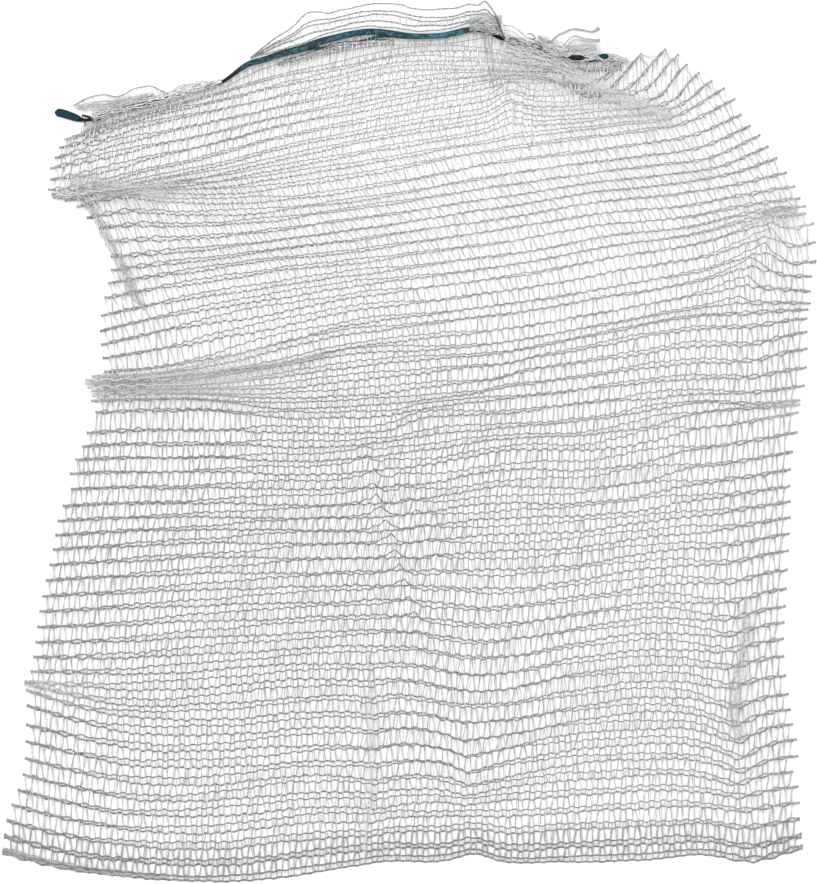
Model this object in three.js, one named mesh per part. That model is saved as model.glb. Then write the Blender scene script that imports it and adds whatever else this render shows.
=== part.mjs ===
// Empty raschel-knit net sack lying flat with its front up, and the drawstring in its gathered mouth.
// Millimetres, +Z up. X runs across the sack and +Y from the hem to the mouth.
// The origin is the middle of the underside. Every chain row of the knit is a rib across the sack.
import * as THREE from 'three';

// Driving dimensions of the net
const CHAIN_ROWS = 60; // rows from the hem to the drawstring, one rib each
const FRILL_ROWS = 4; // free rows above the drawstring
const COLUMNS = 30; // steps across each row
const SEAM_THICKNESS = 1.8; // both layers pressed together
const LOFT = 3.2; // slack between the layers, away from the seams
const LOFT_PLACE = 0.05; // share of a row over which the slack builds up
const LOFT_ROWS = 2; // rows over which it builds up above the hem
const RIB_HEIGHT = 1.4; // a chain row above the ties beside it
const COMB_TOOTH = 0.006; // share of a row by which its end stands out past the ties
const MOUTH_SWELL = 2.4; // bunched rows along the mouth
const MOUTH_SWELL_ROWS = 4;
const FRILL_THICKNESS = 2.4;

// Driving dimensions of the drawstring and of the channel that it lies in
const CORD_WIDTH = 4.6;
const CORD_THICKNESS = 2.6;
const CORD_SIDES = 10;
const STRAND_OFFSET = 3.1; // front and back strand, each side of the channel's middle
const CHANNEL_HALF = 7;
const CHANNEL_FLOOR = 1.0; // both layers of net under the cord
const CHANNEL_LEAN = 0.3; // the channel's walls lean out by this much
const CORD_GAP = 0.3;
const FRONT_STRAND = { from: 0.08, to: 0.93, steps: 38 };
const BACK_STRAND = { from: 0.93, to: 0.1, steps: 34 };
const TURN_STEPS = 6;
const FLOOR_GAP = 0.05; // the loose end lies this far above the ground

// Loose end of the drawstring, from its tip to where it enters the mouth: x, y
const LOOSE_END = [[-199, 186.5], [-194, 184.8], [-188, 182.8], [-182, 181.8], [-176, 183], [-169, 186]];
const LOOSE_ON_GROUND = 3; // points of it that lie on the ground

// Seams: row, x, y
const LEFT_SEAM = [
  [0, -228, -232], [3, -223, -205], [8, -216, -161], [12, -214, -128], [16, -208, -96], [20, -200, -60],
  [24, -191, -27], [28, -182, 5], [32, -177, 30], [36, -172, 57], [39, -173, 80], [41, -168, 97],
  [44, -172, 111], [46, -178, 120], [47, -187, 127], [48, -199, 136], [50, -202, 147], [52, -201, 159],
  [54, -197, 169], [56, -186, 172], [59, -177, 175],
];
const RIGHT_SEAM = [
  [0, 222, -228], [5, 217, -186], [12, 212, -122], [16, 213, -83], [20, 215, -44], [25, 218, 4],
  [28, 223, 30], [32, 225, 69], [35, 227, 94], [37, 229, 111], [38, 228, 122], [39, 223, 129],
  [41, 220, 138], [43, 213, 151], [47, 194, 179], [50, 179, 197], [53, 158, 212], [55, 144, 221],
  [57, 126, 213], [59, 123, 209],
];

// Hem and middle of the mouth channel: place along the row from 0 to 1, x, y
const HEM_LINE = [
  [0, -228, -232], [0.06, -201, -241], [0.15, -161, -246.5], [0.3, -94, -248], [0.43, -34, -240],
  [0.47, -16, -237], [0.56, 24, -235.5], [0.585, 36, -232], [0.62, 52, -236], [0.7, 88, -237],
  [0.8, 134, -235], [0.88, 169, -232.5], [0.93, 192, -237], [1, 222, -229],
];
const MOUTH_LINE = [
  [0, -177, 182], [0.13, -152, 188], [0.28, -106, 200], [0.34, -89, 210], [0.41, -66, 219],
  [0.48, -43, 224], [0.55, -19, 227], [0.65, 18, 225], [0.7, 35, 227], [0.73, 52, 227],
  [0.77, 66, 223], [0.82, 82, 218], [0.9, 104, 215], [1, 123, 216],
];

// Top of the frill above the middle of the channel: place, height
const FRILL_HEIGHT = [
  [0, 10.1], [0.06, 11.2], [0.13, 11.8], [0.17, 10.7], [0.21, 9.6], [0.3, 9.6], [0.34, 10.7],
  [0.37, 16.3], [0.41, 20.2], [0.48, 18.6], [0.55, 19.1], [0.65, 18], [0.69, 18.6], [0.705, 20.8],
  [0.73, 10.1], [0.78, 9.6], [0.82, 10.1], [0.86, 15.2], [0.91, 16.9], [0.95, 10.7], [1, 9.6],
];

// How far a row's middle hangs below the line between its ends: row, drop
const ROW_SAG = [
  [0, 0], [4, 1.7], [10, 2.2], [20, 7.3], [28, 13.5], [34, 12.4], [40, 14.6], [54, 15.2], [59, 15.2],
];
const SAG_PLACE_LEFT = 0.05;
const SAG_PLACE_RIGHT = 0.12;

// How much a row follows the mouth, by row, and over how many rows the hem's shape fades
const MOUTH_PULL = [[0, 0], [53, 0], [54.5, 0.03], [56, 0.31], [57, 0.55], [58, 0.78], [59, 1]];
const HEM_FADE_ROWS = 7;
const HEM_FADE_POWER = 1.5;

// Gathers squeeze neighbouring rows together: places of full strength, fades before and after them,
// centre row at the first and last place, rows reached each way, strength from 0 to 1, height in mm
const GATHERS = {
  leftPinch: { full: [-0.1, 0.15], fade: [0.05, 0.22], row: [32.6, 33.4], reach: 5.5, pull: 0.85, lift: 7 },
  upperLeftKnot: { full: [0.035, 0.075], fade: [0.03, 0.17], row: [50.2, 49.8], reach: 5, pull: 0.85, lift: 9 },
  rightPinch: { full: [0.95, 0.99], fade: [0.12, 0.03], row: [38.6, 39.2], reach: 4.5, pull: 0.8, lift: 6 },
  mouthBand: { full: [0.76, 0.9], fade: [0.04, 0.07], row: [57, 51.5], reach: 5.5, pull: 0.8, lift: 7 },
};

// Creases run across the rows: first and last row, rows of fade, place at each of those rows,
// reach to the left and right as shares of a row, shift towards the mouth and height in mm
const CREASES = {
  mouthPeak: { rows: [49, 58], fade: 2, place: [0.715, 0.725], reach: [0.05, 0.08], shift: 11, lift: 4 },
  bottomDip: { rows: [5, 9.5], fade: 3, place: [0.582, 0.575], reach: [0.045, 0.09], shift: -11, lift: 4 },
  rightDip: { rows: [10, 37], fade: 4, place: [0.925, 0.925], reach: [0.09, 0.05], shift: -3.4, lift: 3 },
  rightLowDip: { rows: [6, 9], fade: 3, place: [0.918, 0.918], reach: [0.05, 0.04], shift: -10, lift: 4 },
  rightSwag: { rows: [34, 37.5], fade: 2, place: [0.965, 0.965], reach: [0.03, 0.04], shift: -4, lift: 1 },
  centrePeak: { rows: [13, 27], fade: 3, place: [0.5, 0.395], reach: [0.06, 0.05], shift: 4, lift: 5 },
};
const CREASE_SHARPNESS = 1.6;
const CREASE_POWER = 1.4;

const NET_COLOUR = 0xb9babb;
const CORD_COLOUR = 0x1d4a55;

// Smooth curve through knots of the form [at, value, ...]
function through(knots, at) {
  const last = knots.length - 1;
  const t = THREE.MathUtils.clamp(at, knots[0][0], knots[last][0]);
  let k = 0;
  while (k < last - 1 && t >= knots[k + 1][0]) k += 1;
  const slope = (i, c) => (knots[i + 1][c] - knots[i][c]) / (knots[i + 1][0] - knots[i][0]);
  const tangent = (i, c) => {
    if (i === 0) return slope(0, c);
    if (i === last) return slope(last - 1, c);
    const before = knots[i][0] - knots[i - 1][0];
    const after = knots[i + 1][0] - knots[i][0];
    return (slope(i - 1, c) * after + slope(i, c) * before) / (before + after);
  };
  const span = knots[k + 1][0] - knots[k][0];
  const s = (t - knots[k][0]) / span;
  const values = [];
  for (let c = 1; c < knots[0].length; c += 1) {
    values.push(
      knots[k][c] * (1 + 2 * s) * (1 - s) ** 2 + tangent(k, c) * span * s * (1 - s) ** 2
      + knots[k + 1][c] * s * s * (3 - 2 * s) + tangent(k + 1, c) * span * s * s * (s - 1),
    );
  }
  return values;
}

function between(a, b, share) {
  return a + (b - a) * share;
}

// How strongly a gather acts at a place along the rows
function gatherStrength(gather, place) {
  const [start, end] = gather.full;
  const rise = THREE.MathUtils.smoothstep(place, start - gather.fade[0], start);
  return rise * (1 - THREE.MathUtils.smoothstep(place, end, end + gather.fade[1]));
}

function gatherCentre(gather, place) {
  const [start, end] = gather.full;
  const share = THREE.MathUtils.clamp((place - start) / (end - start), 0, 1);
  return between(gather.row[0], gather.row[1], share);
}

// Falls from 1 at a gather's centre row to 0 at its reach
function gatherNearness(gather, place, row) {
  const distance = Math.min(Math.abs(row - gatherCentre(gather, place)) / gather.reach, 1);
  return (1 - distance * distance) ** 2;
}

// Row place after the gathers have squeezed the rows together
function gatheredRow(place, row) {
  let gathered = row;
  for (const gather of Object.values(GATHERS)) {
    const centre = gatherCentre(gather, place);
    const squeeze = gather.pull * gatherStrength(gather, place) * gatherNearness(gather, place, gathered);
    gathered = centre + (gathered - centre) * (1 - squeeze);
  }
  return gathered;
}

// Strength of a crease at a place and row, 1 on its line
function creaseStrength(crease, place, row) {
  const [first, last] = crease.rows;
  const rise = THREE.MathUtils.smoothstep(row, first - crease.fade, first + crease.fade);
  const along = rise * (1 - THREE.MathUtils.smoothstep(row, last - crease.fade, last + crease.fade));
  const share = THREE.MathUtils.clamp((row - first) / (last - first), 0, 1);
  const offset = place - between(crease.place[0], crease.place[1], share);
  const distance = Math.abs(offset) / crease.reach[offset < 0 ? 0 : 1];
  return along * Math.exp(-((distance * CREASE_SHARPNESS) ** CREASE_POWER));
}

// Point on the straight line between a row's two ends, hung by the row's sag
function hungPoint(place, row) {
  const left = through(LEFT_SEAM, row);
  const right = through(RIGHT_SEAM, row);
  const settled = (1 - Math.exp(-place / SAG_PLACE_LEFT)) * (1 - Math.exp(-(1 - place) / SAG_PLACE_RIGHT));
  const x = between(left[0], right[0], place);
  const y = between(left[1], right[1], place) - through(ROW_SAG, row)[0] * settled;
  return [x, y];
}

// Plan position of a place along a row of the body
function planPoint(place, row) {
  const gathered = gatheredRow(place, row);
  let [x, y] = hungPoint(place, gathered);
  const hem = through(HEM_LINE, place);
  const hungHem = hungPoint(place, 0);
  const hemShare = Math.exp(-((gathered / HEM_FADE_ROWS) ** HEM_FADE_POWER));
  x += (hem[0] - hungHem[0]) * hemShare;
  y += (hem[1] - hungHem[1]) * hemShare;
  const mouth = through(MOUTH_LINE, place);
  const hungMouth = hungPoint(place, CHAIN_ROWS - 1);
  const mouthShare = through(MOUTH_PULL, gathered)[0];
  x += (mouth[0] - hungMouth[0]) * mouthShare;
  y += (mouth[1] - CHANNEL_HALF - hungMouth[1]) * mouthShare;
  for (const crease of Object.values(CREASES)) {
    y += crease.shift * creaseStrength(crease, place, gathered);
  }
  return [x, y];
}

// Height of the net's upper side between its ribs
function topHeight(place, row) {
  const across = (1 - Math.exp(-place / LOFT_PLACE)) * (1 - Math.exp(-(1 - place) / LOFT_PLACE));
  let height = SEAM_THICKNESS + LOFT * across * (1 - Math.exp(-row / LOFT_ROWS));
  const rowsFromMouth = CHAIN_ROWS - 1 - row;
  height += MOUTH_SWELL * Math.exp(-rowsFromMouth / MOUTH_SWELL_ROWS);
  for (const gather of Object.values(GATHERS)) {
    height += gather.lift * gatherStrength(gather, place) * gatherNearness(gather, place, row);
  }
  const gathered = gatheredRow(place, row);
  for (const crease of Object.values(CREASES)) {
    height += crease.lift * creaseStrength(crease, place, gathered);
  }
  return height;
}

// One line across the sack; lines without a rib stop short of the comb's tips
function acrossLine(pointAt, inset) {
  const line = [];
  for (let c = 0; c <= COLUMNS; c += 1) {
    line.push(new THREE.Vector3(...pointAt(between(inset, 1 - inset, c / COLUMNS))));
  }
  return line;
}

function bodyLines() {
  const lines = [];
  const lineCount = 2 * CHAIN_ROWS - 1;
  for (let i = 0; i < lineCount; i += 1) {
    const row = i / 2;
    const isRib = i % 2 === 0;
    const pointAt = (place) => [...planPoint(place, row), topHeight(place, row) + (isRib ? RIB_HEIGHT : 0)];
    lines.push(acrossLine(pointAt, isRib ? 0 : COMB_TOOTH));
  }
  return lines;
}

// Line at a fixed offset from the middle of the mouth channel
function channelLine(offset, height) {
  return acrossLine((place) => {
    const [x, y] = through(MOUTH_LINE, place);
    return [x, y + offset, height];
  }, COMB_TOOTH);
}

function frillLines() {
  const lines = [channelLine(CHANNEL_HALF, FRILL_THICKNESS)];
  for (let i = 1; i < 2 * FRILL_ROWS; i += 1) {
    const isRib = i % 2 === 1;
    const share = (i + 1) / (2 * FRILL_ROWS);
    const pointAt = (place) => {
      const [x, y] = through(MOUTH_LINE, place);
      const rise = between(CHANNEL_HALF, through(FRILL_HEIGHT, place)[0], share);
      return [x, y + rise, FRILL_THICKNESS + (isRib ? RIB_HEIGHT : 0)];
    };
    lines.push(acrossLine(pointAt, isRib ? 0 : COMB_TOOTH));
  }
  return lines;
}

// Closed solid: the lines make its upper side, and its underside is flat on the ground
function groundedSolid(lines) {
  const rows = lines.length;
  const width = COLUMNS + 1;
  const points = lines.flat();
  const faces = [];
  for (let r = 0; r < rows - 1; r += 1) {
    for (let c = 0; c < COLUMNS; c += 1) {
      const here = r * width + c;
      faces.push([here, here + 1, here + width + 1], [here, here + width + 1, here + width]);
    }
  }
  const rim = [];
  for (let c = 0; c < COLUMNS; c += 1) rim.push(c);
  for (let r = 0; r < rows - 1; r += 1) rim.push(r * width + COLUMNS);
  for (let c = COLUMNS; c > 0; c -= 1) rim.push((rows - 1) * width + c);
  for (let r = rows - 1; r > 0; r -= 1) rim.push(r * width);
  const ground = rim.map((top) => new THREE.Vector2(points[top].x, points[top].y));
  const firstGround = points.length;
  for (const spot of ground) points.push(new THREE.Vector3(spot.x, spot.y, 0));
  rim.forEach((top, i) => {
    const next = (i + 1) % rim.length;
    faces.push([firstGround + i, firstGround + next, rim[next]], [firstGround + i, rim[next], top]);
  });
  for (const [a, b, c] of THREE.ShapeUtils.triangulateShape(ground, [])) {
    const turn = ground[b].clone().sub(ground[a]).cross(ground[c].clone().sub(ground[a]));
    faces.push((turn > 0 ? [a, c, b] : [a, b, c]).map((corner) => firstGround + corner));
  }
  return solidFrom(points, faces);
}

function solidFrom(points, faces) {
  const geometry = new THREE.BufferGeometry().setFromPoints(points);
  geometry.setIndex(faces.flat());
  geometry.computeVertexNormals();
  return geometry;
}

// Middle line of the drawstring: loose end, front strand, turn and back strand
function cordRoute() {
  const inChannel = CHANNEL_FLOOR + CORD_GAP + CORD_THICKNESS / 2;
  const onGround = FLOOR_GAP + CORD_THICKNESS / 2;
  const route = LOOSE_END.map(([x, y], i) => (
    new THREE.Vector3(x, y, i < LOOSE_ON_GROUND ? onGround : inChannel)
  ));
  const addStrand = (strand, offset) => {
    for (let i = 0; i <= strand.steps; i += 1) {
      const [x, y] = through(MOUTH_LINE, between(strand.from, strand.to, i / strand.steps));
      route.push(new THREE.Vector3(x, y + offset, inChannel));
    }
  };
  addStrand(FRONT_STRAND, STRAND_OFFSET);
  const [turnX, turnY] = through(MOUTH_LINE, FRONT_STRAND.to);
  for (let i = 1; i < TURN_STEPS; i += 1) {
    const angle = Math.PI / 2 - Math.PI * (i / TURN_STEPS);
    const x = turnX + STRAND_OFFSET * Math.cos(angle);
    const y = turnY + STRAND_OFFSET * Math.sin(angle);
    route.push(new THREE.Vector3(x, y, inChannel));
  }
  addStrand(BACK_STRAND, -STRAND_OFFSET);
  return route;
}

// Flat cord with rounded edges and closed ends along a route; its flat side stays level
function flatCord(route) {
  const up = new THREE.Vector3(0, 0, 1);
  const points = [];
  const faces = [];
  route.forEach((centre, i) => {
    const ahead = route[Math.min(i + 1, route.length - 1)];
    const behind = route[Math.max(i - 1, 0)];
    const side = ahead.clone().sub(behind).cross(up).normalize();
    for (let s = 0; s < CORD_SIDES; s += 1) {
      const angle = (2 * Math.PI * s) / CORD_SIDES;
      const across = side.clone().multiplyScalar((CORD_WIDTH / 2) * Math.cos(angle));
      const rise = up.clone().multiplyScalar((CORD_THICKNESS / 2) * Math.sin(angle));
      points.push(centre.clone().add(across).add(rise));
    }
  });
  const rings = route.length;
  for (let r = 0; r < rings - 1; r += 1) {
    for (let s = 0; s < CORD_SIDES; s += 1) {
      const here = r * CORD_SIDES + s;
      const beside = r * CORD_SIDES + ((s + 1) % CORD_SIDES);
      faces.push([here, here + CORD_SIDES, beside], [beside, here + CORD_SIDES, beside + CORD_SIDES]);
    }
  }
  const lastRing = (rings - 1) * CORD_SIDES;
  for (let s = 1; s < CORD_SIDES - 1; s += 1) {
    faces.push([0, s, s + 1], [lastRing, lastRing + s + 1, lastRing + s]);
  }
  return solidFrom(points, faces);
}

function netSack() {
  const channel = [
    channelLine(-CHANNEL_HALF + CHANNEL_LEAN, CHANNEL_FLOOR),
    channelLine(CHANNEL_HALF - CHANNEL_LEAN, CHANNEL_FLOOR),
  ];
  const geometry = groundedSolid([...bodyLines(), ...channel, ...frillLines()]);
  const material = new THREE.MeshStandardMaterial({ color: NET_COLOUR, roughness: 0.7, metalness: 0 });
  const mesh = new THREE.Mesh(geometry, material);
  mesh.name = 'net_sack';
  return mesh;
}

function drawstring() {
  const material = new THREE.MeshStandardMaterial({ color: CORD_COLOUR, roughness: 0.8, metalness: 0 });
  const mesh = new THREE.Mesh(flatCord(cordRoute()), material);
  mesh.name = 'drawstring';
  return mesh;
}

const sack = new THREE.Group();
sack.name = 'mesh_sack';
sack.add(netSack(), drawstring());

// Centre the whole on the origin, on the ground
const box = new THREE.Box3().setFromObject(sack);
const middle = box.getCenter(new THREE.Vector3());
sack.position.set(-middle.x, -middle.y, -box.min.z);

export default sack;
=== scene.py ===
"""Looks of an empty raschel-knit net sack that lies flat: real threads in place of the plain solid.

Plan values are in millimetres, as in the part's source; meshes are in metres, in the frame of the part.
A place runs from 0 at the left seam to 1 at the right one, and a row from 0 at the hem to the mouth.
Heights are above the ground, and tones are reflectances from 0 to 1.
"""
import math
from collections import namedtuple

import bpy
import numpy as np
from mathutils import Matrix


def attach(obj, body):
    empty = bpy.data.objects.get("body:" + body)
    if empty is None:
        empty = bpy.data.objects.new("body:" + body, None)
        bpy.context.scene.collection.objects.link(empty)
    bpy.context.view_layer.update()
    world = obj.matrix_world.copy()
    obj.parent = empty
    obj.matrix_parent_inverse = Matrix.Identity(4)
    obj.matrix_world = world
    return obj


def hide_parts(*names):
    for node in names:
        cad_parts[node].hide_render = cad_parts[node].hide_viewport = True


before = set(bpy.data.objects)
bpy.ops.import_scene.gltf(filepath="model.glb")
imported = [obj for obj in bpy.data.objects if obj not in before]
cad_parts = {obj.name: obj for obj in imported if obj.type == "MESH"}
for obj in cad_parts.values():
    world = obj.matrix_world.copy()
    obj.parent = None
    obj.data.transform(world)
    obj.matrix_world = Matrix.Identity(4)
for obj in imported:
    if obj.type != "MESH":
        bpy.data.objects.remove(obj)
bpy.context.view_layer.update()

MM = 0.001
MM_PER_PIXEL = 0.5625  # scale of the photograph
PLAN_SHIFT = (-0.42, 0.57)  # centres the plan on the frame's origin

# Camera and stage
PHOTO_HALF_HEIGHT = 442  # pixels
CAMERA_HEIGHT = 3.0
SENSOR_HEIGHT = 36
CLIP_END = 100
WORLD_STRENGTH = 0.9
KEY_ENERGY = 60
KEY_SIZE = 2.5
KEY_PLACE = (-0.8, 0.9, 2.6)
KEY_TILT = (-19, -17, 0)  # degrees
FLOOR_SIZE = 8
FLOOR_COLOUR = (0.92, 0.92, 0.92, 1)
FLOOR_ROUGHNESS = 0.9

# Net: counts and thread sizes
BODY_ROWS = 63
LAST_ROW = BODY_ROWS - 1
STITCHES = 138
CHAIN_STEPS = 3  # samples for each stitch of a chain
CHAIN_SIDES = 4
TIE_SIDES = 3
TIE_POINTS = 3  # samples for each stitch of a tie
CHAIN_HALF_WIDTH = 0.39
CHAIN_FLATNESS = 0.8
CHAIN_LUMP = 0.25  # how much thicker a chain is at its stitches
TIP_LUMP = 0.45  # how much thicker it is at the bead that ends a row
TIP_FADE = 3
SEAM_LUMP = 0.42  # and near the seams
SEAM_LUMP_STITCHES = 8
SEAM_TONE = 0.07  # how much paler it is there
TIE_HALF_WIDTH = 0.21
TIE_SPREAD = 0.3  # a tie is a flat tape whose width varies
FRILL_TIE_SHARE = 0.6  # share of the width that the frill's slack ties show
TIE_FLATNESS = 0.4
NARROW_TIES = 0.12  # share of ties that are twisted into a narrow, darker thread
NARROW_HALF_WIDTH = 0.2
TIE_REACH = 0.34  # a tie follows its chain this far each way, in stitches
TIE_REACH_SPREAD = 0.12
TIE_FOOT_JITTER = 0.1  # stitches
TIE_MIDDLE_JITTER = 0.25
TIE_DROP = 0.1  # how far a tie hangs in its middle
TIE_MIN_HEIGHT = 0.32
WEB_JITTER = 0.2
ROW_PITCH = 8.6
GROUND_CLEARANCE = 0.06
HALVES = {"lower": (0, 31), "upper": (31, BODY_ROWS)}
HEM_ROWS = 2  # rows whose chains and ties are doubled in the hem
HEM_CHAIN_SHARE = 1.22
HEM_TIE_HALF_WIDTH = 0.25
HEM_SEAM_TIES = 260
HEM_SEAM_HALF_HEIGHT = 0.12

# Uneven rows
STITCH_PULL = 0.42  # a tie pulls its chain this far up or down
STITCH_JITTER_SIZE = 0.14
RELAX_RANGE = (0.15, 1.1)  # least and most of these that a row shows, by its distance to the next row
SEAM_FADES = ((0.05, 0.13), (0.87, 0.935))  # places over which the seams fade out and in
SEAM_PULL_LOSS = 0.6
SEAM_WANDER_LOSS = 0.8
SEAM_TWIST = 0.62  # at the seams the two layers' chains twist round each other
TWIST_STITCHES = 1.7
TWIST_ROW_TURN = 2.4
TWIST_RISE = 0.6

# Reflectance of the yarns
CHAIN_TONE = 0.2
CHAIN_UNEVEN = 0.035
SLIM_TONE = 0.34  # how much paler a chain gets as it is drawn thin
PALEST_CHAIN = 0.54
TIE_TONES = ((0, 0.64), (30, 0.64), (42, 0.77), (LAST_ROW, 0.83))  # row, tone
TIE_UNEVEN = 0.06
FRILL_TIE_TONE = 0.8
NARROW_TONE = 0.42
HEM_TIE_TONE = 0.5
WEB_TONE = 0.6
WEB_UNEVEN = 0.08
WEB_SIZE = (0.22, 0.12)  # half width and half height
YARN_PATCHES = (700, 3)  # scale and detail of the noise in a thread's tone
CHAIN_PATCHINESS = 0.12
TIE_PATCHINESS = 0.25
Look = namedtuple("Look", "roughness specular fibre_scale bump")
YARN_LOOK = Look(0.55, 0.3, 2500, 0.4)
CORD_LOOK = Look(0.8, 0.2, 3000, 0.5)
FIBRE_DETAIL = 2
FIBRE_HEIGHT = 0.0002
UV_CELL_ASPECT = 40  # how many times as wide as high a thread's cell is in the UV map
UV_ALONG = 0.96  # shares of a cell that the thread fills
UV_AROUND = 0.9
LEAST_LENGTH = 1e-9
SIDE_NUDGE = (1e-6, 0, 0)  # gives a thread that runs straight up a side all the same

# Share of the full chain width, which is less where the net is drawn out: row, then one value for each place
SLIM_PLACES = (0, 0.25, 0.5, 0.8, 1)
CHAIN_SLIM = (
    (0, 0.98, 0.98, 0.94, 0.84, 0.84), (30, 0.93, 0.92, 0.87, 0.8, 0.84), (37, 0.92, 0.88, 0.79, 0.75, 0.82),
    (46, 0.88, 0.82, 0.71, 0.7, 0.8), (LAST_ROW, 0.84, 0.78, 0.66, 0.66, 0.76),
)

# Heights of the solid that the net replaces
SEAM_THICKNESS = 1.8
LOFT = 3.2
LOFT_PLACE = 0.05
LOFT_ROWS = 2
CHAIN_RISE = 0.3  # front chains lie this far above the solid's upper side
FOLD_SINK = 0.5  # in a gather every second front row sinks by this share
BACK_HEIGHT = 0.75
BACK_FOLD_RISE = 0.35  # and every second back row rises by this share
FRILL_HEIGHTS = {"front": 3.2, "back": 0.8}  # at its foot
FRILL_EDGE_HEIGHT = 0.6
LIP_DROP = 2
LIP_HEIGHT = 1.8

# Drawstring
CORD_WIDTH = 4.6
CORD_THICKNESS = 2.2
CORD_SIDES = 24
CORD_STEP = 0.5
CORD_BANDS = 16  # bands of the UV map that hold its length
TIP_LENGTH = 2.0
TIP_LEAST = 0.02
WEAVE_YARNS = 6
WEAVE_TURN = 2.2
WEAVE_DEPTH = 0.05
FRONT_HEIGHT = 3.6  # middle of the front strand
REAR_HEIGHT = 1.4  # middle of the rear strand, which lies under the front one
REAR_MARGIN = 0.5
LOOSE_HEIGHT = 1.2  # middle of the loose end on the ground
FRONT_STRAND = (0.05, 0.95, 60)  # place at its start and end, and steps
REAR_STRAND = (0.95, 0.1, 54)
CORD_TURN = (2, -0.5)  # from the end of the front strand
REAR_GAP = (  # place, distance from the front strand
    (0, 1.2), (0.37, 0.6), (0.42, 0.8), (0.475, 5.2), (0.52, 5.6), (0.575, 1.6), (0.61, 0.6), (0.68, 0.5),
    (0.76, 1.2), (1, 1.2),
)
LOOSE_END = (
    (-198.5, 184.9), (-194.6, 184.3), (-190.1, 182.9), (-186.2, 181.5), (-182.8, 180.5), (-179, 180.6),
    (-174.5, 182),
)
LOOSE_ON_GROUND = 4
REAR_FLAT = 0.42  # most of its width that the rear strand shows

# Colours of the drawstring
CORD_YARNS = (  # share of a turn, colour
    (0.0, (0.018, 0.122, 0.176)), (0.24, (0.011, 0.101, 0.166)), (0.34, (0.011, 0.025, 0.040)),
    (0.46, (0.081, 0.054, 0.065)), (0.56, (0.014, 0.018, 0.023)), (0.66, (0.014, 0.083, 0.119)),
    (0.8, (0.072, 0.155, 0.180)), (1.0, (0.018, 0.122, 0.176)),
)
CORD_PATCHES = (260, 4)  # scale and detail of the noise that mixes the yarns
PATCH_TURN = 3.2
BRAID_PITCH = 27  # one turn of the cord's coloured yarns
BRAID_SKEW = 0.3
BRAID_COLOURS_FROM = -176  # x where the plain teal of the loose end gives way to mixed yarns
MIX_FADE = (BRAID_COLOURS_FROM - 4, BRAID_COLOURS_FROM + 8)
BROWN_TURN = 0.5
TEAL_TURN = 0.05
BROWN_BITS = ((-108, -96), (88, 102))  # x ranges of one plain colour
TEAL_BITS = ((107, 116),)
SHADED_CORD_BITS = ((-185, -108), (39, 86))  # x ranges where the cord lies under bunched threads and is painted near-black for their shade, so only dark specks of it show
CORD_SHADE = ((-90, 0.6), (-60, 0.76), (-5, 0.8), (12, 1), (40, 1))  # x, share of the yarns' full colour
LOOSE_SHADE = 0.28
PLAIN_SHADE = 0.34
# painted shade: near-black share of the cord's colour under bunched threads
DARK_SHADE = 0.085
# painted shade of the rear strand, which lies under the front strand and the net
REAR_SHADE = 0.8
EDGE_SHADE = 0.5  # painted shade: how much darker the upper edge is
UPPER_EDGE = (0.4, 0.9)  # range over which that edge begins, 1 at its very side

# Middle of the front strand: place, x, y
CORD_LINE = (
    (0, -177, 181.8), (0.04, -169.5, 184.1), (0.085, -161, 186.5), (0.14, -149, 189.6), (0.19, -135, 193),
    (0.235, -122.5, 197.6), (0.265, -112.5, 200.2), (0.29, -104.5, 202), (0.31, -98.5, 206), (0.33, -91.5, 211),
    (0.36, -80, 214.5), (0.385, -73, 217), (0.42, -60, 220.5), (0.45, -50.5, 224), (0.48, -41, 226.5),
    (0.51, -32.5, 228.5), (0.55, -19.5, 230), (0.58, -9.5, 229), (0.61, 1.5, 227.5), (0.645, 13.5, 227.5),
    (0.675, 23.5, 228.5), (0.69, 29.5, 230), (0.705, 38.5, 231.8), (0.72, 46, 230), (0.735, 53.5, 226.2),
    (0.76, 63, 223.6), (0.79, 74, 219.6), (0.83, 87, 216), (0.87, 99.5, 215.2), (0.92, 111, 216),
    (1, 123, 214.5),
)
# Width that the twisted ribbon shows: x, share of the full width
CORD_FLAT = (
    (-199, 1.05), (-190, 1), (-186, 0.85), (-183, 0.5), (-176, 0.4), (-170, 0.55), (-148, 0.36), (-106, 0.3),
    (-98, 0.35), (-92, 0.58), (-75, 0.78), (-60, 0.88), (-41, 0.82), (-10, 0.78), (12, 0.68), (36, 0.64),
    (43, 0.34), (58, 0.34), (80, 0.4), (92, 0.62), (125, 0.7),
)

# Seams: row, x, y
LEFT_SEAM = (
    (0, -228, -230.5), (2, -225.5, -213), (5, -216.5, -187.5), (8, -214.5, -159.5), (10, -214.5, -140),
    (11, -215.5, -136.5), (12, -215.5, -135), (13, -212, -129.5), (14, -210.5, -121.5), (17, -207, -96),
    (21, -199.5, -61), (24, -194, -36.5), (25, -189.5, -27), (26, -190, -18.5), (28, -183, -3),
    (29, -180.5, 4.5), (30, -175.5, 16), (31, -178, 22.5), (32, -177.3, 25.5), (37, -177.5, 36.5),
    (38, -170.5, 39), (39, -171.5, 46.5), (42, -172.5, 70.5), (43, -170.5, 80.5), (45, -167, 96),
    (46, -167, 103.5), (48, -173, 120), (49, -180.5, 125.5), (50, -186, 131.5), (51, -192.5, 135),
    (53, -199, 136.7), (55, -200, 138.7), (56, -202, 141.2), (57, -201, 147), (58, -201, 153.3),
    (59, -198.5, 159.2), (60, -196, 164.8), (61, -193, 169.3), (LAST_ROW, -181, 174.4),
)
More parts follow.
